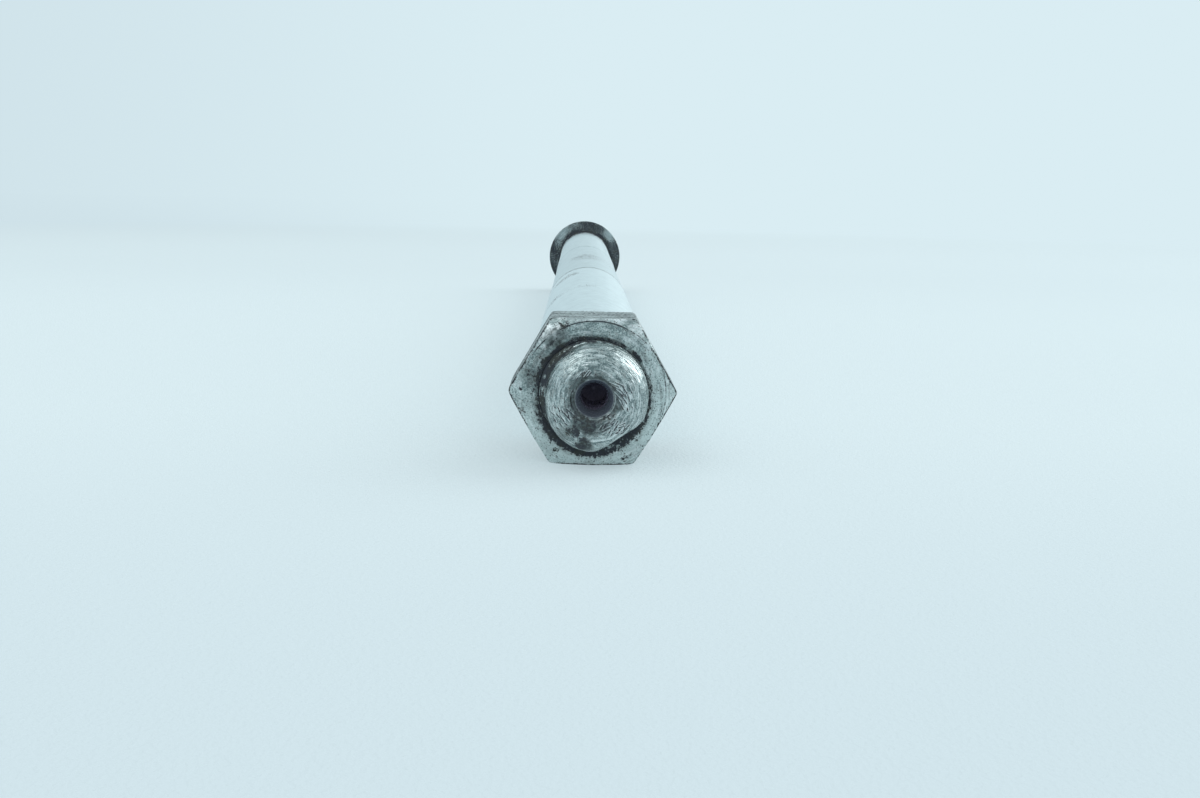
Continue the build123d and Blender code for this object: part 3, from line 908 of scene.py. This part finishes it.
# The stage and its lamps are in metres.
floorLook = {
    "size": 16.0,
    "near": (0.62, 0.755, 0.815, 1),  # its colour in front of the nut, painted darker as shade
    "colour": (0.735, 0.875, 0.915, 1),  # beside the bolt
    "beyond": (0.69, 0.825, 0.867, 1),  # and behind the head, painted darker where the lamp lights the floor more
    "glow": (0.63, 0.757, 0.80, 1),  # what the shadows are lifted with
    "shadowLift": 0.5,  # how much of it the camera and the metal see there
    "fade": (0.35, 1.2),  # how far off nothing but this glow is seen
    "glowFade": (0.4, 1.2),  # and how far off it turns into the sky's own colour
}
lampLook = {
    "right": {"towards": (0.73, 0.38, 0.55), "far": 2.0, "size": 1.6, "power": 15.6},
    "left": {"towards": (-0.49, -0.53, 0.68), "far": 2.2, "size": 1.0, "power": 3.3},
    "top": {"towards": (-0.52, 0.05, 0.85), "far": 2.2, "size": 1.0, "power": 4.1},
}
skyLook = {
    # what the camera and the metal see
    "pale": (0.70, 0.846, 0.896, 1),
    "left": (0.625, 0.76, 0.815, 1),
    "front": (0.585, 0.705, 0.745, 1),
    "overhead": (0.60, 0.72, 0.76, 1),
    # and what lights the bolt
    "lightFront": (0.89, 0.90, 0.91, 1),
    "lightBack": (0.66, 0.675, 0.68, 1),
}
cameraLook = {
    "fromNutFace": (-2.30, -167.22, 30.21),  # from its middle, in millimetres
    "lens": 34.5,
    "down": 10.531,
    "aside": 1.17,
    "roll": 1.166,
}


def skyBand(tree, aside, behind):
    # The sky's colour low down, from in front of the nut to behind the head, and a little darker to the left
    band = mixColour(tree, stepOf(tree, behind, -0.8, 0.2), skyLook["front"], skyLook["pale"])
    return mixColour(tree, stepOf(tree, aside, -0.6, 0.05), skyLook["left"], band)


def sightOf(tree):
    # 1 for what the camera sees, straight or in gloss or glass, and 0 for light on its way to a surface
    rays = put(tree, "LightPath").outputs
    mirrored = mathOf(tree, "MAXIMUM", rays["Is Glossy Ray"], rays["Is Transmission Ray"])
    return mathOf(tree, "MAXIMUM", rays["Is Camera Ray"], mirrored)


def addFloor(look):
    # The bolt rests on the nut's lower flat and the flange's rim, so the floor slopes to touch both
    slope = (nutLow.z - boltLow.z) / (roundEnd["threadOut"] - nutFace)
    half = look["size"] / 2 / mm
    corners = [(x * mm, y * mm, (nutLow.z - slope * (y - nutFace)) * mm)
               for x, y in ((-half, -half), (half, -half), (half, half), (-half, half))]
    mesh = bpy.data.meshes.new("floor")
    mesh.from_pydata(corners, [], [(0, 1, 2, 3)])
    floor = bpy.data.objects.new("floor", mesh)
    bpy.context.scene.collection.objects.link(floor)
    material = bpy.data.materials.new("paleFloor")
    tree = newTree(material)
    place = put(tree, "TexCoord").outputs["Object"]
    level = lengthOf(tree, place)
    split = put(tree, "SeparateXYZ", {0: place}).outputs
    nearNut = stepOf(tree, split["Y"], nutFace * mm - 0.12, nutFace * mm + 0.05)
    colour = mixColour(tree, nearNut, look["near"], look["colour"])
    colour = mixColour(tree, stepOf(tree, split["Y"], -0.15, 0.15), colour, look["beyond"])
    grain = noiseOf(tree, place, 1800.0, 2.0)
    bump = put(tree, "Bump", {"Strength": 0.5, "Distance": 0.0004, "Height": grain}).outputs[0]
    matte = put(tree, "BsdfDiffuse", {"Color": colour, "Normal": bump}).outputs[0]
    # far away it takes the sky's own colour in that direction, so that no horizon shows
    away = mathOf(tree, "MAXIMUM", level, 0.1)
    aside, behind = (mathOf(tree, "DIVIDE", split[axis], away) for axis in "XY")
    sky = skyBand(tree, aside, behind)
    shine = mixColour(tree, stepOf(tree, level, *look["glowFade"]), look["glow"], sky)
    glow = put(tree, "Emission", {"Color": shine, "Strength": 1.0}).outputs[0]
    lift = stepOf(tree, level, *look["fade"], look["shadowLift"], 1.0)
    share = mathOf(tree, "MULTIPLY", sightOf(tree), lift)
    both = put(tree, "MixShader", {0: share, 1: matte, 2: glow})
    put(tree, "OutputMaterial", {"Surface": both.outputs[0]})
    mesh.materials.append(material)


def addSky(look):
    # Seen, it is the band low down and one colour overhead; as a light it is brighter in front than behind
    world = bpy.data.worlds.new("sky")
    bpy.context.scene.world = world
    tree = newTree(world)
    split = put(tree, "SeparateXYZ", {0: put(tree, "TexCoord").outputs["Generated"]}).outputs
    band = skyBand(tree, split["X"], split["Y"])
    seen = mixColour(tree, stepOf(tree, split["Z"], 0.35, 0.8), band, look["overhead"])
    light = mixColour(tree, stepOf(tree, split["Y"], -0.8, 0.8), look["lightFront"], look["lightBack"])
    colour = mixColour(tree, sightOf(tree), light, seen)
    back = put(tree, "Background", {"Color": colour, "Strength": 1.0})
    put(tree, "OutputWorld", {"Surface": back.outputs[0]})


def addLamp(name, look):
    # A soft square lamp that faces the nut's end
    aim = Vector((0, nutFace, 0)) * mm
    towards = Vector(look["towards"]).normalized()
    light = bpy.data.lights.new(name, "AREA")
    light.size, light.energy = look["size"], look["power"]
    lamp = bpy.data.objects.new(name, light)
    lamp.location = aim + towards * look["far"]
    lamp.rotation_euler = towards.to_track_quat("Z", "Y").to_euler()
    lamp.visible_camera = False
    bpy.context.scene.collection.objects.link(lamp)


def addCamera(look):
    # Looks along +Y, turned aside and down, then rolled about its own line of sight
    down, aside, roll = (math.radians(look[key]) for key in ("down", "aside", "roll"))
    forward = Vector((math.sin(aside) * math.cos(down), math.cos(aside) * math.cos(down), -math.sin(down)))
    right = Vector((math.cos(aside), -math.sin(aside), 0))
    up = right.cross(forward)
    rolledRight = right * math.cos(roll) + up * math.sin(roll)
    rolledUp = up * math.cos(roll) - right * math.sin(roll)
    data = bpy.data.cameras.new("camera")
    data.lens, data.sensor_width, data.clip_start = look["lens"], 36, 0.005
    camera = bpy.data.objects.new("camera", data)
    camera.matrix_world = Matrix((rolledRight, rolledUp, -forward)).transposed().to_4x4()
    camera.location = (Vector((0, nutFace, 0)) + Vector(look["fromNutFace"])) * mm
    bpy.context.scene.collection.objects.link(camera)
    bpy.context.scene.camera = camera


addFloor(floorLook)
addSky(skyLook)
for name, look in lampLook.items():
    addLamp(name, look)
addCamera(cameraLook)
bpy.context.scene.view_settings.view_transform = "Standard"
print("floor, light and camera made")
